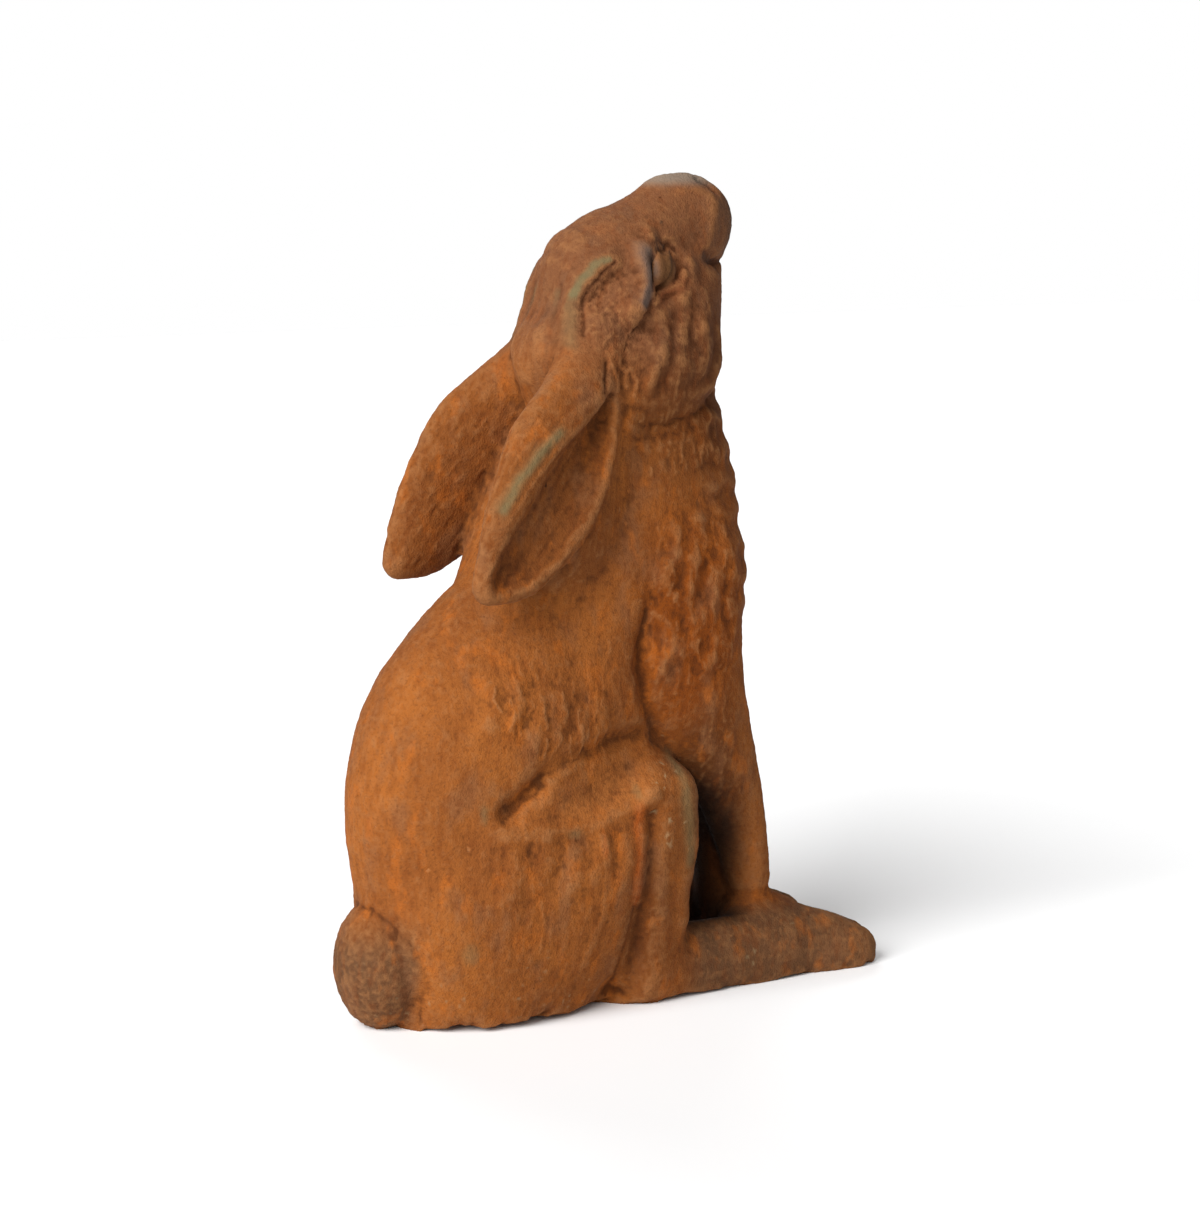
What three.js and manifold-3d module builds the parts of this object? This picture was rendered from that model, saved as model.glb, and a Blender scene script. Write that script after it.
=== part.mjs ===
// Hare statue: a sitting hare that gazes up at the sky with its ears laid back, cast in iron in one piece.
// Millimetres, +Z up. The hare looks towards -Y, its right side is towards -X and it stands on its flat
// underside.
import * as THREE from "three";
import { mergeVertices } from "three/addons/utils/BufferGeometryUtils.js";
import Module from "manifold-3d";

// Driving dimensions, in millimetres
const height = 500; // from the ground to the top of the nose
const gridStep = height * 0.0072; // spacing of the grid that the form is read on
const mostTriangles = 9400; // what is left when the flatter places are thinned out

// The hare's pose and proportions are hundredths of its height. A point is [side, forward, up], where side
// is the distance from the plane of symmetry, because both sides are alike.
const share = height / 100;
const { lerp, smoothstep, clamp } = THREE.MathUtils;
const tiny = 1e-9;

// Two forms joined with a fillet of about the given width.
function blend(a, b, width) {
  const overlap = Math.max(width - Math.abs(a - b), 0) / width;
  return Math.min(a, b) - overlap * overlap * width * 0.25;
}

// The first form with the second cut out of it, the edge rounded by about the given width.
function carve(form, cut, width) {
  return -blend(-form, cut, width);
}

function ball(p, centre, radii) {
  const x = (p[0] - centre[0]) / radii[0];
  const y = (p[1] - centre[1]) / radii[1];
  const z = (p[2] - centre[2]) / radii[2];
  const length = Math.hypot(x, y, z);
  const slope = Math.hypot(x / radii[0], y / radii[1], z / radii[2]);
  return slope < tiny ? -Math.min(...radii) : (length * (length - 1)) / slope;
}

// A limb: a tube along a smooth curve through its stations, each [side, forward, up, radius, flatness].
// Flatness is the limb's half width across the hare as a share of the radius.
function limb(stations, steps = 20) {
  const route = new THREE.CatmullRomCurve3(
    stations.map(([side, forward, up]) => new THREE.Vector3(side, forward, up)),
    false,
    "catmullrom",
  );
  const girth = new THREE.CatmullRomCurve3(
    stations.map(([, , , radius, flatness = 1]) => new THREE.Vector3(radius, flatness, 0)),
    false,
    "catmullrom",
  );
  const beads = [];
  const reach = new THREE.Box3();
  for (let i = 0; i <= steps; i++) {
    const at = route.getPoint(i / steps);
    const size = girth.getPoint(i / steps);
    beads.push([at.x, at.y, at.z, size.x, size.y]);
    reach.expandByPoint(at.clone().addScalar(size.x * Math.max(1, size.y)));
    reach.expandByPoint(at.clone().subScalar(size.x * Math.max(1, size.y)));
  }
  const probe = new THREE.Vector3();
  const farAway = 6;
  return (p) => {
    const away = reach.distanceToPoint(probe.set(p[0], p[1], p[2]));
    if (away > farAway) return away;
    let nearest = Infinity;
    for (let i = 0; i < steps; i++) {
      const a = beads[i];
      const b = beads[i + 1];
      const run = [b[0] - a[0], b[1] - a[1], b[2] - a[2]];
      const along = (p[0] - a[0]) * run[0] + (p[1] - a[1]) * run[1] + (p[2] - a[2]) * run[2];
      const t = clamp(along / (run[0] ** 2 + run[1] ** 2 + run[2] ** 2), 0, 1);
      const flatness = lerp(a[4], b[4], t);
      const x = (p[0] - a[0] - run[0] * t) / flatness;
      const y = p[1] - a[1] - run[1] * t;
      const z = p[2] - a[2] - run[2] * t;
      const length = Math.hypot(x, y, z);
      const slope = Math.hypot(x / flatness, y, z);
      const radius = lerp(a[3], b[3], t);
      nearest = Math.min(nearest, slope < tiny ? -radius : ((length - radius) * length) / slope);
    }
    return nearest;
  };
}

// Trunk: rump, back and chest as one upright egg that leans forward into the neck
const rump = limb([
  [0, -15.5, 6, 15.8, 0.7],
  [0, -16, 18, 17.2, 0.7],
  [0, -15.5, 29, 18.2, 0.67],
  [0, -12.4, 37.5, 15.6, 0.71],
  [0, -8.4, 45.5, 12.2, 0.79],
  [0, -4, 53, 11.4, 0.78],
  [0, 0, 61, 10.4, 0.76],
]);
const chest = limb([
  [0, 2.5, 40, 14, 0.7],
  [0, 4, 50, 14.2, 0.7],
  [0, 5.8, 59, 12.4, 0.76],
  [0, 5.6, 66.5, 11, 0.78],
  [0, 5.4, 73, 9.6, 0.82],
  [0, 3.4, 80, 8.8, 0.84],
]);

function trunk(p) {
  return blend(rump(p), chest(p), 6);
}

// Head: a wedge that points up and forward, with a blunt muzzle above an upright jaw
const skull = limb([
  [0, 0.4, 77.6, 10.8, 0.79],
  [0, 1.4, 82.5, 10.4, 0.79],
  [0, 1.8, 86.4, 9.4, 0.84],
  [0, 5, 89.8, 7.3, 0.88],
  [0, 10.4, 93.6, 6, 0.78],
]);
const jaw = limb([
  [0, 8.6, 81, 7.4, 0.95],
  [0, 10, 85.4, 6.4, 0.9],
  [0, 12.2, 88.8, 4.6, 0.8],
]);
const cheek = limb([
  [4.6, 1, 77.4, 4.8],
  [4.4, 6, 78, 5.4],
  [3.8, 8.6, 83, 4.4],
  [2.8, 10.8, 87.6, 3.4],
]);

function head(p) {
  const lips = ball(p, [0, 13.2, 94.2], [4.2, 4.9, 5.4]);
  const nose = ball(p, [0, 10.4, 97.2], [3, 4.6, 2.7]);
  const muzzle = blend(blend(blend(skull(p), jaw(p), 3), lips, 1.4), nose, 1.4);
  const face = blend(muzzle, cheek(p), 1.8);
  const socket = ball(p, [9.4, 4.3, 88.6], [3.3, 3.3, 4.6]);
  const eyeball = ball(p, [5.6, 4.6, 88.9], [2.5, 2, 2.7]);
  return blend(carve(face, socket, 0.7), eyeball, 0.3);
}

// Scruff: the fold of neck that the front half of the ear lies against
const scruff = limb([
  [4.4, -2, 73, 4.4],
  [5.4, -5.6, 65, 5],
  [6.2, -8.4, 58, 5],
  [5, -12.4, 51.4, 4.2],
]);

// Ear: a long leaf with a deep hollow that opens outwards, from the crown down behind the neck
const earLeaf = limb([
  [4.6, -3.6, 81.6, 3.6, 0.9],
  [6.4, -5.9, 77, 4.2, 0.8],
  [8.4, -8.4, 72.4, 5.6, 0.6],
  [9.8, -11.5, 67.5, 7.2, 0.45],
  [10.5, -13.3, 63.9, 7.1, 0.42],
  [11, -15.6, 60.3, 6.4, 0.42],
  [11.3, -18.5, 56.2, 4.6, 0.48],
  [11.4, -21.4, 53.7, 2.4, 0.75],
]);
const earHollow = limb([
  [10.4, -4.4, 74.4, 0.8, 1.6],
  [12, -6.9, 70, 2.5, 1],
  [13.4, -9.8, 66.1, 4.1, 0.7],
  [14, -12.8, 61.9, 4.7, 0.62],
  [14, -16.1, 58, 4.1, 0.64],
  [13.6, -19.4, 55.3, 2.5, 0.84],
  [13.4, -21.2, 53.6, 1, 1],
]);

function ear(p) {
  return carve(earLeaf(p), earHollow(p), 0.7);
}

// Hind leg: a broad haunch with a raised knee, and a long foot flat on the ground
const haunch = limb([
  [5.4, -17.4, 12, 13.6, 0.52],
  [6.8, -11, 16, 14.8, 0.46],
  [8, -4, 20.5, 11.8, 0.5],
  [8.4, -2, 23.6, 9.3, 0.56],
]);
const shin = limb([
  [9, 1.4, 25, 5.6, 0.8],
  [8.8, 1, 14, 5, 0.8],
  [8.2, 1.4, 5, 5, 0.75],
]);
const hindFoot = limb([
  [7.8, 2, 3.6, 5.2, 0.62],
  [7.6, 14, 3.2, 5.3, 0.58],
  [7.6, 25, 2.8, 4.9, 0.62],
  [8, 32, 1.6, 4.2, 0.76],
]);

function hindLeg(p) {
  const thighTop = (p[0] - 12.6) * 0.87 + (p[2] - 25.5) * 0.5;
  const thigh = -blend(-haunch(p), -thighTop, 1.2);
  return blend(blend(thigh, shin(p), 1.6), hindFoot(p), 1.6);
}

// Foreleg: a heavy shoulder, a straight leg and a paw set between the hind feet
const foreleg = limb([
  [4.6, 8, 52, 8.6, 0.7],
  [5.4, 8.6, 43, 7.8, 0.74],
  [5.6, 9.8, 37, 7.1, 0.74],
  [5.4, 13.6, 29, 5.2, 0.74],
  [5, 16.8, 21, 3.9, 0.8],
  [4.8, 18.8, 13, 3, 0.9],
]);
const forePaw = limb([
  [4.8, 19.8, 5.6, 5.2, 0.62],
  [4.7, 24.5, 4, 4.7, 0.66],
  [4.6, 29.2, 2.6, 3.6, 0.8],
]);

function frontLeg(p) {
  return blend(foreleg(p), forePaw(p), 2);
}

function tail(p) {
  return ball(p, [0, -30.7, 7.4], [6.2, 5.2, 8]);
}

// What joins the legs underneath: a web between the forelegs, set back from their front, and a low floor
// between the feet
const web = limb([
  [0, 13, 31, 5, 0.9],
  [0, 17, 20, 3, 1.2],
  [0, 18.6, 6, 3.4, 1.2],
]);
const floor = limb([
  [0, -2, 0, 5, 1.6],
  [0, 22, 0, 4.6, 1.4],
]);

// Carving on the flanks, drawn in side view: a stroke runs along [forward, up] points, raised or, below
// zero, sunk
function stroke(points, width, height) {
  return (p) => {
    let nearest = Infinity;
    for (let i = 1; i < points.length; i++) {
      const [y, z] = points[i - 1];
      const run = [points[i][0] - y, points[i][1] - z];
      const along = (p[1] - y) * run[0] + (p[2] - z) * run[1];
      const t = clamp(along / (run[0] ** 2 + run[1] ** 2), 0, 1);
      nearest = Math.min(nearest, Math.hypot(p[1] - y - run[0] * t, p[2] - z - run[1] * t));
    }
    return nearest > width * 3 ? 0 : height * Math.exp(-((nearest / width) ** 2));
  };
}

// A band of short tufts of fur between two [forward, up] points, each tuft hanging down and a little back
function tufts(from, to, count, length, width, height) {
  return Array.from({ length: count }, (_, i) => {
    const t = count > 1 ? i / (count - 1) : 0.5;
    const y = lerp(from[0], to[0], t);
    const z = lerp(from[1], to[1], t) + (i % 2) * length * 0.3;
    const middle = [y + length * 0.06, z - length * 0.5];
    return stroke([[y, z], middle, [y - length * 0.22, z - length]], width, height);
  });
}

const eyeStrokes = [
  stroke([[3.2, 93], [0.9, 91], [0.9, 88.4], [0.4, 86.2], [-0.4, 84]], 1.2, 1), // upper lid
  stroke([[2, 83.4], [5, 84.8], [7.8, 86.8], [8.6, 89.6]], 1.1, 0.7), // lower lid
  stroke([[1, 84], [-0.6, 81.8], [-2.9, 79.3]], 1, -0.7), // crease from the eye to the ear
];
const templeStrokes = [
  stroke([[-2.6, 90.1], [-4.6, 89], [-6.3, 86.8], [-7.4, 84.3], [-8.1, 82], [-8.8, 79.6]], 1.3, 1), // ridge
  stroke([[-2.4, 88], [-4, 86.2], [-5, 84], [-5.4, 81.2]], 1.2, -0.6), // hollow in front of it
];
const faceStrokes = [
  stroke([[18, 90], [14.6, 89.2], [12.2, 90]], 1, -0.9), // mouth
  stroke([[13, 99.6], [14.4, 98.6]], 0.9, -0.7), // nostril
  stroke([[13.4, 97.4], [12.9, 95], [12.2, 91.4]], 1.2, 0.4), // edge of the upper lip
  ...tufts([9.8, 86], [3.4, 82.6], 3, 3.8, 1.1, 0.6),
  ...tufts([12.4, 81], [1.8, 78.6], 4, 4, 1.2, 0.7),
];
const ruffStrokes = [
  stroke([[-1, 73.8], [1.4, 73], [4, 73.1], [7, 73.6], [10.4, 74.8], [13.4, 77]], 1.5, 0.7), // lower edge
  stroke([[-1.6, 71.2], [1, 70.4], [4, 70.5], [7, 71], [10.6, 72.2], [14, 75.2]], 1.4, -0.9), // groove under it
];
const bodyStrokes = [
  stroke([[1.4, 49.5], [0.4, 46.5], [-0.3, 42.9], [0.5, 38], [2.8, 33]], 1.4, -1), // behind the shoulder
  ...tufts([-20.5, 41.4], [-6.5, 36.4], 6, 4.2, 1.1, 0.6),
  ...tufts([4, 58.4], [11.5, 57.6], 3, 4.4, 1.1, 0.6),
  ...tufts([2.6, 52.8], [12.6, 52.6], 4, 4.6, 1.1, 0.6),
  ...tufts([3.4, 46.6], [12.6, 46.6], 4, 4.6, 1.1, 0.6),
];
const thighStrokes = [
  stroke([[-19.6, 27], [-17, 28.6], [-14, 30.8], [-10.4, 32.2], [-6, 33.2], [0, 33.8]], 1.2, -0.9), // above it
  stroke([[-21, 24.4], [-14.8, 24.2], [-9.6, 24.5], [-5.2, 25.2], [-0.8, 27.2]], 1.2, 0.5), // ledge along its top
  stroke([[-0.8, 24.5], [-1.1, 18], [-1.5, 12.5], [-1.4, 7.5], [-1.8, 2]], 1.2, -1), // between thigh and shin
  ...tufts([-19, 22], [-4.6, 21.6], 5, 5.5, 1.1, 0.4),
];
const strokes = [eyeStrokes, templeStrokes, faceStrokes, ruffStrokes, bodyStrokes, thighStrokes].flat();

// Locks of fur that overlap like tiles down the front of the neck and chest
function locks([side, forward, up]) {
  const rowHeight = 3.8;
  const depth = 1.5;
  const around = Math.atan2(side, forward - 4);
  const row = (77.2 - up) / rowHeight;
  const scallop = 0.16 * Math.cos(2 * Math.PI * (around * 2.2 + 0.5 * Math.floor(row)));
  const drop = row + scallop - Math.floor(row + scallop);
  const front = 1 - smoothstep(around, 0.7, 1.3);
  const reach = smoothstep(up, 45, 50) * (1 - smoothstep(up, 74.5, 77));
  return depth * drop * drop * (1 - smoothstep(drop, 0.66, 1)) * front * reach;
}

// Grooves between the toes, in front of the given place on the foot and at these distances from the middle
function toes([side, forward, up], start, grooves) {
  const width = 0.6;
  const depth = 0.9;
  const reach = smoothstep(forward, start, start + 3) * (1 - smoothstep(up, 8, 11));
  return -reach * grooves.reduce((sum, at) => sum + depth * Math.exp(-(((side - at) / width) ** 2)), 0);
}

// The whole hare as one field: below zero inside the iron and above zero outside
function hare(side, forward, up) {
  const p = [Math.abs(side), forward, up];
  let form = trunk(p);
  form = blend(form, head(p), 3);
  form = blend(form, hindLeg(p), 1.6);
  form = blend(form, frontLeg(p), 2.4);
  form = blend(form, blend(web(p), floor(p), 2), 1.5);
  const reliefDepth = 2;
  if (Math.abs(form) < reliefDepth) {
    const onFlank = smoothstep(p[0], 1, 2.6);
    form -= onFlank * strokes.reduce((sum, carving) => sum + carving(p), 0);
    form -= locks(p) + toes(p, 31, [6.4, 8.4]);
    if (forward < 30.5) form -= toes(p, 25, [3.6, 5.4]);
  }
  form = blend(blend(form, scruff(p), 2), ear(p), 1.4);
  form = blend(form, tail(p), 0.6);
  return form;
}

// Reads a field on a grid and returns its zero surface. Each cube of the grid is split into six tetrahedra,
// whose corners are a walk from its lowest corner to its highest, so the surface is always closed.
function surfaceOf(field, low, high, step) {
  const count = [0, 1, 2].map((axis) => Math.ceil((high[axis] - low[axis]) / step) + 1);
  const stride = [1, count[0], count[0] * count[1]];
  const values = new Float32Array(count[0] * count[1] * count[2]);
  const placeOf = (index, axis) => low[axis] + step * (Math.floor(index / stride[axis]) % count[axis]);
  const block = 4;
  for (let k = 0; k < count[2]; k += block)
    for (let j = 0; j < count[1]; j += block)
      for (let i = 0; i < count[0]; i += block) {
        const middle = [i, j, k].map((n, axis) => low[axis] + step * (n + block / 2));
        const guess = field(...middle);
        const nearby = Math.abs(guess) < 1.5 * block * step;
        for (let c = k; c < Math.min(k + block, count[2]); c++)
          for (let b = j; b < Math.min(j + block, count[1]); b++)
            for (let a = i; a < Math.min(i + block, count[0]); a++) {
              const value = nearby ? field(low[0] + step * a, low[1] + step * b, low[2] + step * c) : guess;
              values[a + b * stride[1] + c * stride[2]] = value || tiny;
            }
      }

  const corners = [0, 1, 2, 3, 4, 5, 6, 7].map(
    (n) => (n & 1) * stride[0] + ((n >> 1) & 1) * stride[1] + (n >> 2) * stride[2],
  );
  const walks = [
    [0, 1, 3, 7],
    [0, 1, 5, 7],
    [0, 2, 3, 7],
    [0, 2, 6, 7],
    [0, 4, 5, 7],
    [0, 4, 6, 7],
  ];
  const points = [];
  const faces = [];
  const known = new Map();
  const crossing = (base, from, to) => {
    const [first, last] = from < to ? [from, to] : [to, from];
    const start = base + corners[first];
    const end = base + corners[last];
    const key = start * 8 + (last ^ first);
    if (!known.has(key)) {
      const t = values[start] / (values[start] - values[end]);
      known.set(key, points.length);
      points.push([0, 1, 2].map((axis) => lerp(placeOf(start, axis), placeOf(end, axis), t)));
    }
    return known.get(key);
  };
  const bits = (n) => new THREE.Vector3(n & 1, (n >> 1) & 1, n >> 2);
  const turn = (u, v, w) => u.cross(v).dot(w);
  for (let k = 0; k < count[2] - 1; k++)
    for (let j = 0; j < count[1] - 1; j++)
      for (let i = 0; i < count[0] - 1; i++) {
        const base = i + j * stride[1] + k * stride[2];
        const inside = corners.map((offset) => values[base + offset] < 0);
        if (inside.every(Boolean) || !inside.some(Boolean)) continue;
        for (const walk of walks) {
          const within = walk.filter((n) => inside[n]);
          const without = walk.filter((n) => !inside[n]);
          if (within.length === 2 && without.length === 2) {
            const [a, b] = within;
            const [c, d] = without;
            const out = turn(bits(d).sub(bits(c)), bits(b).sub(bits(a)), bits(c).sub(bits(a)));
            const pairs = [[a, c], [a, d], [b, d], [b, c]];
            const ring = pairs.map(([from, to]) => crossing(base, from, to));
            if (out < 0) ring.reverse();
            faces.push([ring[0], ring[1], ring[2]], [ring[0], ring[2], ring[3]]);
          } else if (within.length && without.length) {
            const lone = within.length === 1 ? within[0] : without[0];
            const rest = within.length === 1 ? without : within;
            const out = turn(...rest.map((n) => bits(n).sub(bits(lone))));
            const ring = rest.map((n) => crossing(base, lone, n));
            if (out < 0 === (within.length === 1)) ring.reverse();
            faces.push(ring);
          }
        }
      }
  return { points, faces };
}

// Takes the steps of the grid out of a surface: each pass draws every point towards its neighbours and then
// lets it swell back a little further, so that the whole doesn't shrink.
function smoothed({ points, faces }, passes) {
  const neighbours = points.map(() => new Set());
  faces.forEach(([a, b, c]) => {
    neighbours[a].add(b).add(c);
    neighbours[b].add(c).add(a);
    neighbours[c].add(a).add(b);
  });
  const beside = neighbours.map((set) => [...set]);
  const drawIn = 0.5;
  const swell = -0.53;
  let now = points;
  for (let pass = 0; pass < 2 * passes; pass++) {
    const pull = pass % 2 ? swell : drawIn;
    now = now.map((point, n) =>
      point.map((value, axis) => {
        const mean = beside[n].reduce((sum, m) => sum + now[m][axis], 0) / beside[n].length;
        return lerp(value, mean, pull);
      }),
    );
  }
  return { points: now, faces };
}

// Thins a closed surface to about the wanted number of triangles. The edge whose loss bends the surface
// least is folded into one point first, with the bend measured by the sum of squared distances to the planes
// around it, each plane weighing as much as careOf gives the height where it lies.
function thinned({ points, faces }, most, careOf) {
  const costOfLength = 1e-4; // keeps flat places from being left with very long triangles
  const leastAgreement = 0.3; // cosine of the most that a triangle may turn
  const place = points.map((point) => new THREE.Vector3(...point));
  const ring = points.map(() => new Set());
  const planes = points.map(() => new Float64Array(10));
  const alive = faces.map(() => true);
  const plane = new THREE.Plane();
  faces.forEach((face, index) => {
    const [a, b, c] = face.map((n) => place[n]);
    plane.setFromCoplanarPoints(a, b, c);
    const { x, y, z } = plane.normal;
    const w = plane.constant;
    const area = b.clone().sub(a).cross(c.clone().sub(a)).length() / 2;
    if (!(area > 0)) return face.forEach((n) => ring[n].add(index));
    const terms = [x * x, x * y, x * z, x * w, y * y, y * z, y * w, z * z, z * w, w * w];
    const weight = area * careOf(a.z);
    for (const n of face) {
      ring[n].add(index);
      terms.forEach((term, i) => (planes[n][i] += term * weight));
    }
  });
  const bend = (q, { x, y, z }) =>
    q[0] * x * x + q[4] * y * y + q[7] * z * z + q[9] +
    2 * (q[1] * x * y + q[2] * x * z + q[5] * y * z + q[3] * x + q[6] * y + q[8] * z);

  const system = new THREE.Matrix3();
  const fold = (a, b) => {
    const q = planes[a].map((term, i) => term + planes[b][i]);
    const length = place[a].distanceTo(place[b]);
    const middle = place[a].clone().lerp(place[b], 0.5);
    system.set(q[0], q[1], q[2], q[1], q[4], q[5], q[2], q[5], q[7]);
    const best = new THREE.Vector3(-q[3], -q[6], -q[8]).applyMatrix3(system.invert());
    const usable = best.distanceTo(middle) < length && Number.isFinite(best.x);
    const at = usable ? best : middle;
    return { a, b, at, q, cost: bend(q, at) + costOfLength * length ** 4, ages: [age[a], age[b]] };
  };

  const age = points.map(() => 0);
  const heap = [];
  const push = (item) => {
    let i = heap.push(item) - 1;
    while (i > 0 && heap[(i - 1) >> 1].cost > item.cost) {
      heap[i] = heap[(i - 1) >> 1];
      i = (i - 1) >> 1;
    }
    heap[i] = item;
  };
  const pop = () => {
    const top = heap[0];
    const item = heap.pop();
    let i = 0;
    while (heap.length && 2 * i + 1 < heap.length) {
      const child = 2 * i + 1 + (heap[2 * i + 2]?.cost < heap[2 * i + 1].cost ? 1 : 0);
      if (heap[child].cost >= item.cost) break;
      heap[i] = heap[child];
      i = child;
    }
    if (heap.length) heap[i] = item;
    return top;
  };
  const neighbours = (n) => new Set([...ring[n]].flatMap((index) => faces[index]).filter((m) => m !== n));
  points.forEach((_, a) => neighbours(a).forEach((b) => a < b && push(fold(a, b))));

  const before = new THREE.Vector3();
  const after = new THREE.Vector3();
  const facing = (p, q, r, out) => out.copy(q).sub(p).cross(r.clone().sub(p));
  const turnsOver = (n, gone, at) =>
    [...ring[n]].some((index) => {
      const face = faces[index];
      if (face.includes(gone)) return false;
      facing(...face.map((m) => place[m]), before);
      facing(...face.map((m) => (m === n ? at : place[m])), after);
      return before.dot(after) <= leastAgreement * before.length() * after.length();
    });
  let left = faces.length;
  while (left > most && heap.length) {
    const { a, b, at, q, ages } = pop();
    if (age[a] !== ages[0] || age[b] !== ages[1]) continue;
    const shared = [...neighbours(a)].filter((n) => neighbours(b).has(n));
    if (shared.length !== 2 || turnsOver(a, b, at) || turnsOver(b, a, at)) continue;
    for (const index of ring[b]) {
      const face = faces[index];
      if (face.includes(a)) {
        face.forEach((n) => n !== b && ring[n].delete(index));
        alive[index] = false;
        left--;
      } else {
        face[face.indexOf(b)] = a;
        ring[a].add(index);
      }
    }
    ring[b].clear();
    place[a].copy(at);
    planes[a] = q;
    age[a]++;
    age[b]++;
    neighbours(a).forEach((n) => push(fold(a, n)));
  }
  const kept = faces.filter((_, index) => alive[index]);
  const names = new Map();
  kept.flat().forEach((n) => names.has(n) || names.set(n, names.size));
  return {
    points: [...names.keys()].map((n) => place[n].toArray()),
    faces: kept.map((face) => face.map((n) => names.get(n))),
  };
}

const wasm = await Module();
wasm.setup();

function solidOf({ points, faces }) {
  const vertProperties = new Float32Array(points.flat());
  const triVerts = new Uint32Array(faces.flat());
  return new wasm.Manifold(new wasm.Mesh({ numProp: 3, vertProperties, triVerts }));
}

function solidBox(low, high) {
  const size = high.map((n, axis) => n - low[axis]);
  const box = new THREE.BoxGeometry(...size).deleteAttribute("normal").deleteAttribute("uv");
  box.translate(...low.map((n, axis) => n + size[axis] / 2));
  const merged = mergeVertices(box);
  const vertProperties = new Float32Array(merged.attributes.position.array);
  const triVerts = new Uint32Array(merged.index.array);
  return new wasm.Manifold(new wasm.Mesh({ numProp: 3, vertProperties, triVerts }));
}

function geometryOf(solid) {
  const { vertProperties, triVerts } = solid.getMesh();
  const geometry = new THREE.BufferGeometry();
  geometry.setAttribute("position", new THREE.BufferAttribute(vertProperties, 3));
  geometry.setIndex(new THREE.BufferAttribute(triVerts, 1));
  return geometry;
}

// The casting: the form carries on a little below the ground, where it is cut off flat
const belowGround = 2 * share;
const low = [-18 * share, -42 * share, -belowGround];
const high = [18 * share, 42 * share, 104 * share];
const field = (x, y, z) => Math.max(hare(-x / share, -y / share, z / share) * share, low[2] - z);
const margin = gridStep * 1.5;
const read = surfaceOf(field, low.map((n) => n - margin), high, gridStep);
const headCare = (z) => lerp(1, 8, smoothstep(z / share, 72, 82));
const whole = solidOf(thinned(smoothed(read, 4), mostTriangles, headCare));
const ground = solidBox([2 * low[0], 2 * low[1], -2 * belowGround], [2 * high[0], 2 * high[1], 0]);
const geometry = geometryOf(whole.subtract(ground));
geometry.computeBoundingBox();
geometry.translate(0, -(geometry.boundingBox.min.y + geometry.boundingBox.max.y) / 2, 0);

const rustedIron = new THREE.MeshStandardMaterial({
  color: "#8a4a22",
  roughness: 0.9,
  metalness: 0.15,
  flatShading: true,
});
const casting = new THREE.Mesh(geometry, rustedIron);
casting.name = "hare";

const group = new THREE.Group();
group.add(casting);
export default group;
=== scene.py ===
import math
from itertools import product

import bpy
import numpy as np
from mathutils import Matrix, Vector


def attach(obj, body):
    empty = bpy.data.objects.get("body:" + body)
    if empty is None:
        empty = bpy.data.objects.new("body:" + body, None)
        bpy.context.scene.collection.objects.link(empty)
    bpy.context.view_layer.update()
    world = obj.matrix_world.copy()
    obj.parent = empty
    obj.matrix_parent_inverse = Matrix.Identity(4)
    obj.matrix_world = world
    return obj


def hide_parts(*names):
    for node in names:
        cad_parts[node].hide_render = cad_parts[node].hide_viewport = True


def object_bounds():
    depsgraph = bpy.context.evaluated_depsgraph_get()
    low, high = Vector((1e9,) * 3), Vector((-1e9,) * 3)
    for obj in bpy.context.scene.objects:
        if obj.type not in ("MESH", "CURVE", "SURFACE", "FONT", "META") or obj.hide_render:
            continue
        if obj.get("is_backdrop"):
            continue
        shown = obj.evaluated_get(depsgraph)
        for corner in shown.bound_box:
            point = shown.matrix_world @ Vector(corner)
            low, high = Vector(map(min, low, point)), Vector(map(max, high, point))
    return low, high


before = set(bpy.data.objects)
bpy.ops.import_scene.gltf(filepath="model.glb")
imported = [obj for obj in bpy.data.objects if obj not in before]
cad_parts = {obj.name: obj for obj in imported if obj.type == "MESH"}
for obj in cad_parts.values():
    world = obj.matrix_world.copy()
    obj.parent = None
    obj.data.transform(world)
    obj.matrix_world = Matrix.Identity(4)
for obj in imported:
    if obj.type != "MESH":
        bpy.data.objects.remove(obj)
cad_low, cad_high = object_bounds()

# Camera: on the hare's right, level with its shoulder and some way behind it, as in the photograph. Places on
# the hare are given in shares, hundredths of its height: how far forward from its middle, and how far up from
# the ground.
share = 0.005  # in metres, for a hare 500 mm high
behind = 35.9  # from the hare's middle to the back of its tail, in shares


def spot(side, forward, up):
    """A point given in shares, with side counted towards the hare's left."""
    return Vector((side * share, cad_high.y - (forward + behind) * share, up * share))


camera_round = math.radians(-121)
camera_rise = math.radians(9.5)
camera_distance = 1.665
camera_target = spot(0, 0, 47)
camera_way = Vector((
    math.sin(camera_round) * math.cos(camera_rise),
    -math.cos(camera_round) * math.cos(camera_rise),
    math.sin(camera_rise),
))
bpy.ops.object.camera_add(
    location=camera_target + camera_way * camera_distance,
    rotation=camera_way.to_track_quat("Z", "Y").to_euler(),
)
camera = bpy.context.object
camera.data.lens = 79.92
camera.data.sensor_width = 36
bpy.context.scene.camera = camera

# The hare: one hollow casting of grey iron, poured in a sand mould that was pressed from a modelled hare. It
# keeps the modeller's fur strokes and the grain of the sand, and stands on its own flat, slightly chipped lower
# edge.
join_distance = 1e-5  # corners of the solid that are this close, in metres, are one
grain_size = 0.0012  # the finest relief that is modelled, in metres
most_triangles = 190000

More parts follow.
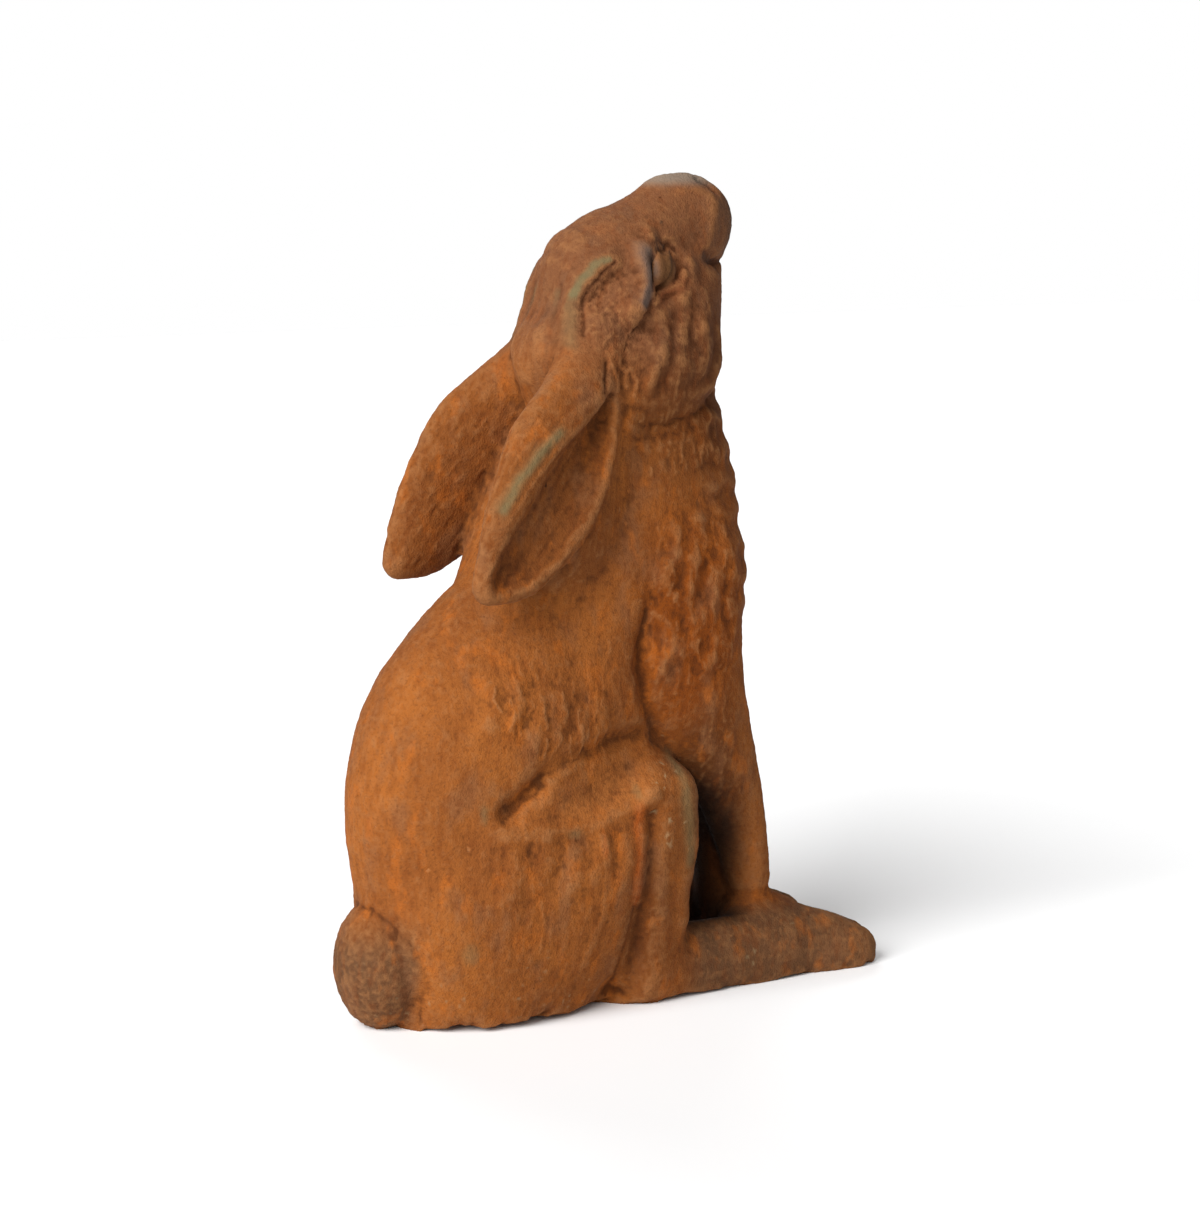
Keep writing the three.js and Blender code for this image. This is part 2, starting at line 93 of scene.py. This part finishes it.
hare = bpy.data.objects.new("cast_iron_hare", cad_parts["hare"].data.copy())
bpy.context.scene.collection.objects.link(hare)
hare.data.materials.clear()
bpy.ops.object.select_all(action="DESELECT")
hare.select_set(True)
bpy.context.view_layer.objects.active = hare
bpy.ops.object.mode_set(mode="EDIT")
bpy.ops.mesh.select_all(action="SELECT")
bpy.ops.mesh.remove_doubles(threshold=join_distance)
bpy.ops.object.mode_set(mode="OBJECT")


def apply(kind, **settings):
    """Adds a modifier to the hare and applies it."""
    modifier = hare.modifiers.new(kind.title(), kind)
    for name, value in settings.items():
        setattr(modifier, name, value)
    bpy.ops.object.modifier_apply(modifier=modifier.name)


apply("SUBSURF", levels=2, render_levels=2)
apply("REMESH", mode="VOXEL", voxel_size=grain_size)
apply("SMOOTH", factor=0.5, iterations=3)


def step(value, start, end):
    """Rises smoothly from 0 at start to 1 at end."""
    way = np.clip((value - start) / (end - start), 0, 1)
    return way * way * (3 - 2 * way)


def measure():
    """The hare's points in shares, the way each faces, its place, and how squarely it faces to its own side."""
    places, normals = (np.empty(len(hare.data.vertices) * 3, np.float32) for _ in range(2))
    hare.data.vertices.foreach_get("co", places)
    hare.data.vertices.foreach_get("normal", normals)
    points = places.reshape(-1, 3).astype(float) / share
    facing = normals.reshape(-1, 3).astype(float)
    side = np.abs(points[:, 0])
    forward = cad_high.y / share - points[:, 1] - behind
    up = points[:, 2]
    outward = step(facing[:, 0] * np.sign(points[:, 0]), 0, 0.35)
    return points, facing, side, forward, up, outward


def push(height):
    """Moves the hare's points along their normals by a height in shares. The underside stays flat."""
    moved = (points + facing * height[:, None]) * share
    moved[points[:, 2] < 0.02, 2] = 0
    moved[:, 2] = np.maximum(moved[:, 2], 0)
    hare.data.vertices.foreach_set("co", moved.astype(np.float32).ravel())
    hare.data.update()


def hollow(passes):
    """How far each point lies in a hollow: the height, in shares, of its surroundings above it."""
    pairs = np.empty(len(hare.data.edges) * 2, np.int32)
    hare.data.edges.foreach_get("vertices", pairs)
    first, last = pairs.reshape(-1, 2).T
    joined = np.bincount(pairs, minlength=len(points))
    rounded = points.copy()
    for _ in range(passes):
        for axis in range(3):
            total = np.bincount(first, rounded[last, axis], len(points))
            total += np.bincount(last, rounded[first, axis], len(points))
            rounded[:, axis] = total / joined
    return ((rounded - points) * facing).sum(1)


lattice = np.random.default_rng(7).random(8192) * 2 - 1
lattice_steps = (73856093, 19349663, 83492791)  # large primes, so that neighbouring cells get unlike heights


def noise(places, size, stretch=1):
    """Soft noise from -1 to 1, in lumps of a size in shares that are stretched along the last direction."""
    scaled = places / (size, size, size * stretch)
    cell = np.floor(scaled).astype(np.int64)
    inside = scaled - cell
    inside = inside * inside * (3 - 2 * inside)
    total = np.zeros(len(scaled))
    for corner in product((0, 1), repeat=3):
        key = (cell + corner) @ lattice_steps % len(lattice)
        total += lattice[key] * np.prod(np.where(corner, inside, 1 - inside), axis=1)
    return total


def along(route, width, power=2):
    """How near each point lies to a drawn route of (forward, up) places: 1 on it, 0 beside it."""
    near = np.zeros(len(up))
    route = np.array(route, float)
    low, high = route.min(0) - 3 * width, route.max(0) + 3 * width
    close = (forward > low[0]) & (forward < high[0]) & (up > low[1]) & (up < high[1])
    here = np.stack([forward[close], up[close]], 1)
    here += 0.22 * np.stack([noise(points[close], 1.6), noise(points[close] + 60, 1.6)], 1)
    nearest = np.full(len(here), np.inf)
    for start, end in zip(route, route[1:]):
        run = end - start
        way = np.clip((here - start) @ run / (run @ run), 0, 1)[:, None]
        nearest = np.minimum(nearest, np.linalg.norm(here - start - run * way, axis=1))
    near[close] = np.exp(-((nearest / width) ** power))
    return near


def patch(centre, reach):
    """A soft-edged oval seen from the side: 1 at its centre, 0 outside."""
    y = (forward - centre[0]) / reach[0]
    z = (up - centre[1]) / reach[1]
    return np.exp(-((y * y + z * z) ** 2))


# Creases as crisp as they were cut, but for the cheek and the front of the chest, which are softer
points, facing, side, forward, up, outward = measure()
crisp = 0.55 - 0.85 * patch((7, 79.5), (5.5, 6.5)) - step(forward, 11, 13) * patch((14, 60), (5, 17))
push(-crisp * hollow(24))
points, facing, side, forward, up, outward = measure()

chance = np.random.default_rng(11)


def fur(start, end, rows, drop, count, length, width, rise):
    """Rows of hanging strokes of fur between two (forward, up) places, none quite like the next."""
    height = np.zeros(len(up))
    for row, stroke in product(range(rows), range(count)):
        part = (stroke + 0.5 * (row % 2) + chance.uniform(0.1, 0.9)) / count
        y = start[0] + (end[0] - start[0]) * part
        z = start[1] + (end[1] - start[1]) * part - row * drop + chance.uniform(-0.4, 0.4) * drop
        long = length * chance.uniform(0.5, 1.3)
        bend = chance.uniform(-0.12, 0.18) * length
        route = [(y, z), (y + bend, z - long * 0.45), (y - bend, z - long)]
        height += along(route, width * chance.uniform(0.7, 1.2)) * rise * chance.uniform(0.3, 1.1)
    return height


# What the modeller cut: routes of (forward, up) places, each with its width and its height. A wide route with a
# height fills what lies under it, and one below zero is a groove.
eye = [
    ([(1.6, 91.0), (1.9, 89.6), (1.8, 88.4)], 1.5, 0.35),  # worn upper lid
    ([(1.0, 86.6), (0.6, 84.9)], 0.8, 0.3),  # its lower end
    ([(3.3, 91.0), (3.3, 89.2), (3.1, 87.6), (2.3, 86.0)], 0.7, 0.6),  # fill between lid and eyeball
    ([(5.8, 91.7), (4.4, 91.2), (3.2, 91.2)], 0.3, -0.5),  # top of the eyeball
    ([(3.2, 86.5), (2.2, 85.4)], 0.3, -0.5),  # back corner
    ([(5.0, 92.1), (6.0, 91.9), (6.9, 91.2)], 0.35, -0.5),  # front corner
    ([(6.0, 90.9), (5.6, 89.4), (5.0, 88.1), (4.2, 87.2), (3.2, 86.4)], 0.28, -0.3),  # under the eyeball
    ([(7.4, 88.3), (6.5, 87.3), (5.0, 86.5), (3.4, 85.8), (2.3, 85.2)], 0.5, 0.5),  # lower lid
    ([(0.6, 83.8), (-0.5, 82.0), (-2.0, 80.0), (-3.8, 78.6)], 1.0, 0.25),  # soft swelling from eye to ear
]
temple = [  # a ledge, and the groove in front of it
    ([(-3.2, 90.2), (-4.7, 89.5), (-6.1, 87.9), (-7.2, 85.8), (-7.7, 83.6), (-8.2, 81.4)], 0.7, 0.12),
    ([(-2.4, 90.0), (-4.2, 88.5), (-5.5, 86.8), (-6.1, 85.0), (-6.3, 83.2), (-6.6, 81.6)], 0.3, -0.28),
]
muzzle = [
    ([(17.5, 89.6), (15.1, 89.4), (12.6, 89.6)], 0.35, -0.4),  # mouth
    ([(12.8, 99.5), (14.2, 98.8), (14.6, 98.0)], 0.4, -0.5),  # nostril
]
cheek = [
    ([(8.6, 85.0), (8.8, 82.6)], 0.8, 0.15),
    ([(6.2, 83.2), (5.6, 80.8)], 0.8, 0.18),
    ([(3.1, 81.6), (2.7, 79.4)], 0.8, 0.15),
    ([(4.8, 78.2), (4.2, 76.2)], 0.9, 0.15),
    ([(1.6, 77.2), (1.2, 74.8)], 0.7, 0.15),
    ([(9.8, 80.0), (9.0, 77.4)], 0.9, 0.12),
    ([(7.2, 83.4), (7.0, 81.0), (8.0, 79.2)], 0.6, -0.14),
    ([(4.4, 82.0), (4.2, 79.8)], 0.5, -0.12),
]
ear_root = [
    ([(-4.8, 78.4), (-5.4, 76.7), (-5.6, 75.0)], 0.35, -0.4),
    ([(-4.3, 78.0), (-3.3, 76.8), (-3.2, 75.2)], 0.35, 0.18),
    ([(-2.8, 78.2), (-1.9, 77.0), (-2.0, 75.4)], 0.35, 0.18),
    ([(-1.4, 77.4), (-0.6, 76.0), (-1.0, 74.6)], 0.35, 0.16),
]
ear_rims = [
    ([(-7.0, 74.9), (-11.4, 72.3), (-14.9, 69.3), (-18.2, 65.8), (-20.7, 61.9), (-22.5, 58.0)], 0.7, 0.15),
    ([(-4.1, 74.0), (-4.5, 69.5), (-6.1, 64.9), (-8.6, 60.5), (-12.2, 56.7), (-16.3, 53.5)], 0.6, 0.1),
    ([(-8.0, 72.2), (-11.4, 70.0), (-14.6, 67.0), (-17.4, 63.6), (-19.6, 60.2)], 0.4, -0.12),
]
thigh = [
    ([(-20.1, 25.9), (-18.4, 26.8), (-16.5, 28.1), (-14.8, 29.3)], 0.4, -0.2),  # notch above the thigh
    ([(-18.8, 27.0), (-16.8, 28.6), (-14.6, 30.6)], 1.2, -0.35),  # hollow that leads into it
    ([(-13.6, 30.4), (-11.5, 31.4), (-9.5, 31.9)], 1.2, 0.25),  # fill where the notch runs out
    ([(-0.6, 27.0), (-1.6, 25.2), (-1.9, 21.5), (-2.2, 18.0), (-2.2, 14.5)], 1.2, 0.35),  # behind the knee
    ([(-7.8, 22.8), (-7.5, 20.2), (-7.3, 16.4), (-7.5, 13.3), (-8.6, 10.3), (-9.6, 7.1)], 0.7, 0.14),
    ([(-2.7, 14.3), (-3.0, 12.4), (-3.2, 9.1), (-3.8, 6.5), (-3.6, 2.6), (-3.8, 0)], 0.6, -0.25),  # shin
]
ruff = [([(-0.9, 71.4), (1, 70.6), (3.5, 70.8), (6.3, 71.2), (10, 72.0)], 1.3, 0.35)]
shoulder = [([(0.5, 48.5), (-0.2, 43.0), (0.6, 38.0), (2.8, 33.2)], 0.6, -0.25)]
tail = [([(-34.6, 15.7), (-32.2, 14.5), (-30.9, 12.6), (-29.6, 9.8), (-28.6, 6.0), (-28.2, 1.0)], 0.5, -0.2)]
knee_front = [(5.5, 27), (5.6, 18), (5.3, 11)]


def cut(lines):
    """The height that a list of routes gives to the surface: flat-topped ridges and narrow valleys."""
    return sum(along(route, width, 4 if rise > 0 else 1.5) * rise for route, width, rise in lines)


on_ears = step(side, 7.5, 9)
relief = outward * (cut(eye + temple + cheek + ruff + shoulder + thigh) + on_ears * cut(ear_rims))
relief += cut(muzzle + tail) + on_ears * cut(ear_root)
relief += outward * 0.3 * patch((3.9, 89.1), (1.2, 1.7))  # eyeball
relief += 0.75 * step(side, 6, 9) * step(-facing[:, 1], 0, 0.5) * along(knee_front, 2.2)
relief += (1 - step(side, 3, 5.5)) * (
    0.35 * patch((-5.4, 92.4), (1.6, 1.6))
    - 0.7 * patch((-8.8, 86.4), (2.4, 3.8))
    + 0.6 * patch((-11, 79), (2.4, 3.8))
)  # crown
relief -= outward * 0.35 * patch((3.0, 92.8), (2.2, 1.2))  # brow
relief += outward * 0.6 * patch((-2.8, 83.4), (3.4, 5.2))  # temple
relief += outward * (
    fur((-20.5, 41.5), (-6.0, 37.6), 2, 3.4, 9, 2.8, 0.22, 0.2)  # flank
    + fur((-19.0, 46.0), (-2.0, 45.0), 2, 4, 7, 3, 0.3, 0.08)
    + fur((1.0, 57.5), (12.5, 57.5), 5, 3.8, 8, 2.4, 0.3, 0.13)  # shoulder
    + fur((0.0, 72.2), (12.5, 72.6), 4, 2, 11, 1.2, 0.3, 0.13)  # neck
    + fur((-23.0, 22.6), (-9.0, 22.6), 5, 4, 12, 2, 0.24, 0.05)  # haunch
    + fur((9.0, 36.0), (13.0, 36.0), 4, 4.5, 3, 3.5, 0.34, 0.14)  # foreleg
)

# What the sand mould left: thumbed lumps, hanging streaks of fur, hair lines down the ears, and grain
sway = np.stack([noise(points + 40, 4), noise(points + 80, 4), 0 * up], 1)
streaks = (
    1 - 2 * np.abs(noise(points + 0.6 * sway, 0.8, 3.5)) ** 0.8
    + 0.9 * noise(points + 0.4 * sway + 20, 0.4, 3)
)
furry = 0.15 + outward * (
    0.35 * step(forward, -26, -20) * (1 - step(forward, -9, -6)) * (1 - step(up, 22, 25))
    + 0.4 * patch((-12, 39), (11, 7)) + 0.5 * patch((7, 46), (8, 12))
    + 0.4 * patch((6, 79), (7, 6)) + 0.2 * patch((7, 69), (8, 5))
)
ear_way = np.stack([side, 0.79 * forward - 0.61 * up, 0.61 * forward + 0.79 * up], 1)
hairs = noise(ear_way + 9, 0.5, 6) * step(-forward, 6, 9) * step(up, 51, 54) * (1 - step(up, 70, 78))
stipple = noise(points + 70, 0.42) * (0.5 + patch((-3.0, 83.6), (4, 6)) + 0.4 * patch((-33, 6), (5, 8)))
relief += (
    0.075 * streaks * furry + 0.08 * hairs + 0.09 * stipple
    + 0.1 * noise(points, 5) + 0.07 * noise(points + 30, 2)
)
chips = np.maximum(noise(points + 50, 1.8), 0) * (1 - step(up, 0.2, 2.2))
push(relief - 0.3 * chips - 0.15 * (1 - step(up, 0, 1)))

apply("DECIMATE", ratio=most_triangles / (2 * len(hare.data.polygons)))
bpy.ops.object.shade_smooth()
points, facing, side, forward, up, outward = measure()

# Where the finish differs from plain rust, and where shade and light are painted into the colour, kept on the
# mesh for the material to read. The first is how sunk each point is, in millimetres. The others run from 0 to
# about 1.
finishes_and_painted_light = {
    "sunk": hollow(3) * share * 1000,
    "grey_lid": outward * step(noise(points, 1.1), -1.1, 0.1) * np.maximum(
        along([(1.5, 90.9), (1.9, 89.6), (1.9, 88.4)], 1.15, 3),
        along([(2.1, 88.4), (1.3, 86.6), (0.7, 85.0)], 0.7, 3),
    ),
    "dark_eye": outward * patch((4.4, 89.0), (1.4, 2.1)),
    "olive_wear": outward * (
        0.9 * along([(-3.1, 90.4), (-4.6, 89.7), (-6.0, 88.2), (-7.0, 86.0)], 0.38, 4)
        + 0.4 * along([(-7.2, 86.4), (-7.6, 83.6), (-8.2, 80.6)], 0.6)
        + 0.9 * step(side, 7.5, 9) * along([(-13.0, 70.9), (-15.6, 68.6), (-18.2, 65.8), (-20.4, 62.4)], 0.6)
        + 0.6 * along([(4.4, 30.0), (4.2, 27.0), (4.6, 23.0), (5.0, 18.0)], 0.9)
        + 0.5 * patch((-22.4, 26.9), (0.5, 1.2)) + 0.4 * patch((-24.4, 10.4), (1.0, 1.4))
        + 0.4 * patch((-11.4, 23.6), (1.2, 0.5)) + 0.4 * patch((-2.3, 27.4), (0.5, 1.0))
    ),
    "pale_nose": step(up, 98.2, 99.6),
    # painted shade on the front of the muzzle, which faces away from the light
    "muzzle_front_shade": step(-facing[:, 1], 0.2, 0.8) * step(up, 87, 91) * (1 - step(up, 97, 99)),
    # the head's own browner rust, made darker as painted shade on the cheek and neck
    "head_brown_and_shade": step(up + 0.3 * forward, 70, 82),
    # painted shade on the throat and neck under the cheek
    "throat_shade": outward * patch((8, 74), (9, 12)),
    # painted shade: the ears a little darker all over
    "ears": step(up, 50, 54) * (1 - step(up, 74, 78)) * step(-forward, 3, 7) * step(side, 4, 7),
    "base_brown": np.maximum(
        step(-forward, 28.5, 30) * (1 - step(up, 9, 16)),
        step(forward, 4, 9) * (1 - step(up, 8, 10)),
    ),
    "bright_shoulder": outward * patch((6, 46), (8, 15)),
    # painted shadow: the gap behind the foreleg near black
    "painted_gap_shadow": (
        (1 - step(side, 7, 10)) * step(forward, 1, 6) * (1 - step(forward, 14, 19)) * (1 - step(up, 24, 31))
    ),
    # painted shade on the foreleg, shin and knee, which the haunch shades
    "front_painted_shade": np.maximum(
        patch((10, 22), (5.5, 15)),
        0.6 * patch((-0.5, 12), (4, 12)) + 0.4 * patch((4, 25), (3, 8)),
    ),
    # painted light: warm reflected light along the shin crease, the lit lower lid and orange highlights on the
    # haunch
    "painted_warm_light": outward * np.maximum(
        along([(-2.4, 25.5), (-2.7, 21.9), (-2.9, 18.2), (-2.7, 14.3)], 0.7),
        along([(7.2, 88.1), (6.4, 87.2), (5.0, 86.4), (3.2, 85.7)], 0.6)
        + patch((-8.0, 22.0), (2.2, 1.6)) * step(noise(points, 0.6, 3), -0.1, 0.4),
    ),
    # painted light: the upward-facing top of the thigh lighter, where light falls on it
    "lit_thigh_top": outward * patch((-7, 28), (9, 3.5)) * step(facing[:, 2], 0.05, 0.3),
    "flecks": outward * step(noise(points, 0.3), 0.66, 0.8) * (
        patch((3, 26), (5, 7)) + 0.7 * patch((-16, 4), (14, 5)) + 0.3 * patch((-32, 6), (5, 9))
        + 0.6 * patch((20, 3), (12, 5)) + 0.6 * patch((1.5, 89), (1.5, 3))
    ),
}
for name, amount in finishes_and_painted_light.items():
    attribute = hare.data.attributes.new(name, "FLOAT", "POINT")
    attribute.data.foreach_set("value", amount.astype(np.float32))


def linear(code):
    """An sRGB hex colour as linear values with full opacity."""
    parts = [int(code[start:start + 2], 16) / 255 for start in (0, 2, 4)]
    levels = [part / 12.92 if part <= 0.04045 else ((part + 0.055) / 1.055) ** 2.4 for part in parts]
    return (*levels, 1)


# Rusted grey cast iron, as it comes from the sand mould and after years outdoors: an even skin of orange-brown
# rust, quite matt and no longer metallic, darker and redder in the hollows, with the grain of the sand all over,
# and with a few high spots that are rubbed down to grey or tinged olive.
# Some of the tints below are painted shade and painted light, marked where they stand.
rust = bpy.data.materials.new("rusted_sand_cast_iron")
rust.use_nodes = True
tree = rust.node_tree
shader = tree.nodes["Principled BSDF"]


def add(kind, inputs=None, **settings):
    """Adds a node with its own settings, and with values or other nodes' outputs on its inputs."""
    node = tree.nodes.new(kind)
    for name, value in settings.items():
        setattr(node, name, value)
    for name, value in (inputs or {}).items():
        if isinstance(value, bpy.types.NodeSocket):
            tree.links.new(value, node.inputs[name])
        else:
            node.inputs[name].default_value = value
    return node


where = add("ShaderNodeTexCoord").outputs["Object"]
masks = {name: add("ShaderNodeAttribute", attribute_name=name).outputs["Fac"] for name in finishes_and_painted_light}
# The size of the lumps in millimetres, their detail, and how far they are drawn out downwards. Moulding sand has
# grains of about 0.2 mm. Here they are 1.1 mm, because finer ones wouldn't show.
patterns = [
    ("broad", 50, 3, 1.5),
    ("blotches", 18, 4, 1.8),
    ("sparks", 12, 4, 1.8),
    ("runs", 5, 3, 2.5),
    ("specks", 1.6, 2, 1),
    ("marks", 3, 3, 1.6),
    ("sand", 1.1, 3, 1),
]
for name, size, detail, stretch in patterns:
    place = add("ShaderNodeMapping", {"Vector": where, "Scale": (1, 1, 1 / stretch)}).outputs[0]
    lumps = add("ShaderNodeTexNoise", {"Vector": place, "Scale": 1000 / size, "Detail": detail})
    masks[name] = lumps.outputs[0]
# Each tint lies over those before it, from nothing to its amount as its mask goes from one value to the next
layers = [
    ("905322", "broad", 0.35, 0.65, 1),  # fresher and older areas of rust
    # painted shade: the ears a little darker all over
    ("522c14", "ears", 0, 1, 0.4),
    ("703406", "bright_shoulder", 0, 1, 0.85),
    # painted shade on the foreleg, shin and knee
    ("341808", "front_painted_shade", 0, 1, 0.75),
    ("4a3828", "base_brown", 0, 1, 0.75),  # earth and dust on tail and feet
    ("744c30", "blotches", 0.52, 0.66, 0.5),  # dull patches
    ("a2571b", "sparks", 0.56, 0.68, 0.5),  # bright orange patches
    # painted light on the top of the thigh
    ("9a5e2e", "lit_thigh_top", 0, 1, 0.5),
    ("a44c14", "painted_warm_light", 0, 1, 0.6),  # painted light: warm reflected light along the shin crease, the lit lower lid and orange highlights on the haunch
    # the head's own browner rust, also painted shade on the cheek and neck
    ("5b4030", "head_brown_and_shade", 0, 1, 0.6),
    # painted shade on the throat and neck under the cheek
    ("42230e", "throat_shade", 0, 1, 0.55),
    ("64300f", "runs", 0.48, 0.68, 0.35),  # where rain ran down
    ("96663e", "sunk", -0.05, -0.5, 0.45),  # rubbed edges
    ("40200c", "sunk", 0.05, 0.5, 0.7),  # darker in the hollows
    ("4a2611", "specks", 0.52, 0.75, 0.4),
    ("5c514b", "grey_lid", 0, 1, 0.8),
    ("53381f", "dark_eye", 0, 1, 0.75),
    ("625f42", "olive_wear", 0, 1, 0.75),
    ("a08a66", "flecks", 0.1, 1, 0.6),  # specks of lichen and lime
    # painted shade on the front of the muzzle
    ("4a3b32", "muzzle_front_shade", 0, 1, 0.7),
    ("847b6e", "pale_nose", 0, 1, 0.65),
    ("120804", "painted_gap_shadow", 0, 1, 0.9),  # painted shadow: the gap behind the foreleg near black
]
colour = linear("7b451d")
for tint, name, low, high, amount in layers:
    part = add("ShaderNodeMapRange", {0: masks[name], 1: low, 2: high, 4: amount}).outputs[0]
    colour = add("ShaderNodeMix", {0: part, 6: colour, 7: linear(tint)}, data_type="RGBA").outputs[2]
tree.links.new(colour, shader.inputs["Base Color"])
shader.inputs["Roughness"].default_value = 0.93
shader.inputs["Specular IOR Level"].default_value = 0.12
coarse = add("ShaderNodeBump", {"Height": masks["marks"], "Distance": 0.0012, "Strength": 0.45}).outputs[0]
grains = {"Height": masks["sand"], "Distance": 0.0008, "Strength": 0.8, "Normal": coarse}
fine = add("ShaderNodeBump", grains).outputs[0]
tree.links.new(fine, shader.inputs["Normal"])
hare.data.materials.append(rust)

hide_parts("hare")
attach(hare, "root")

# Floor: pale matt studio paper, laid flat and far past the edges of the view. Behind it, all is plain white, and
# that white gives the hare only a little light.
floor_width = 12
white_on_hare = 0.08
white_in_view = 1

bpy.ops.mesh.primitive_plane_add(size=floor_width, location=(0, 0, 0))
floor = bpy.context.object
floor.name = "studio_floor"
paper = bpy.data.materials.new("pale_paper")
paper.use_nodes = True
paper.node_tree.nodes["Principled BSDF"].inputs["Base Color"].default_value = (0.9, 0.9, 0.9, 1)
paper.node_tree.nodes["Principled BSDF"].inputs["Roughness"].default_value = 0.9
floor.data.materials.append(paper)
floor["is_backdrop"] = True

bpy.context.scene.view_settings.view_transform = "Standard"
world = bpy.data.worlds.new("studio")
bpy.context.scene.world = world
world.use_nodes = True
sky = world.node_tree
background = sky.nodes["Background"]
background.inputs["Color"].default_value = (1, 1, 1, 1)
seen = sky.nodes.new("ShaderNodeLightPath").outputs["Is Camera Ray"]
glow = sky.nodes.new("ShaderNodeMapRange")
glow.inputs["To Min"].default_value = white_on_hare
glow.inputs["To Max"].default_value = white_in_view
sky.links.new(seen, glow.inputs["Value"])
sky.links.new(glow.outputs[0], background.inputs["Strength"])


# Lights: a large soft one behind the hare and above it, which brightens its back as in the photograph, a weaker
# one from its right, and one that reaches its front and its left.
def soft_light(name, way, spread, strength):
    """Even light from far away: way points towards it, and spread is how wide it looks, in degrees."""
    bpy.ops.object.light_add(type="SUN", location=(0, 0, 3))
    light = bpy.context.object
    light.name = name
    light.data.angle = math.radians(spread)
    light.data.energy = strength
    light.rotation_euler = Vector(way).to_track_quat("Z", "Y").to_euler()


soft_light("key_light", (-0.3, 0.87, 0.6), 40, 4.5)
soft_light("fill_light", (-0.75, 0.45, 0.7), 60, 1.1)
soft_light("far_light", (0.9, -0.25, 0.5), 50, 1.3)

low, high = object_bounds()
